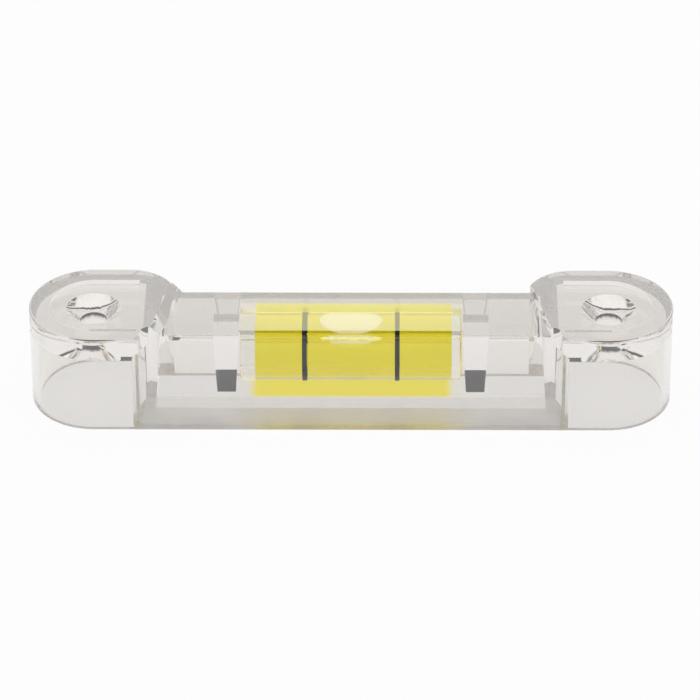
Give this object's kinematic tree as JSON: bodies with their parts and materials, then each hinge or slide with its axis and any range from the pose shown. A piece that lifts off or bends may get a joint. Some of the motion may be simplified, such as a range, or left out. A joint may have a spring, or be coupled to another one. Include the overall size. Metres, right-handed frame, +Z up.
{
  "type": "screw-mount spirit level",
  "caption": "Clear moulded spirit level with a countersunk screw ear at each end and a bubble vial of yellow-green liquid in its bar.",
  "frame": {"origin": "middle of the footprint, on the surface that the level is screwed to", "axes": "+X along the length, +Y towards the plain back, +Z up through the screw holes"},
  "size_m": [0.075, 0.015, 0.0125],
  "materials": {
    "clear_housing": "polished clear acrylic, faintly warm",
    "clear_vial": "polished clear acrylic",
    "tinted_spirit": "clear yellow-green liquid",
    "black_ring": "flat black"
  },
  "bodies": {
    "root": {"housing": "clear_housing", "vial_tube": "clear_vial", "vial_plug": "clear_vial", "spirit_liquid": "tinted_spirit", "index_ring_left": "black_ring", "index_ring_right": "black_ring"}
  },
  "joints": []
}
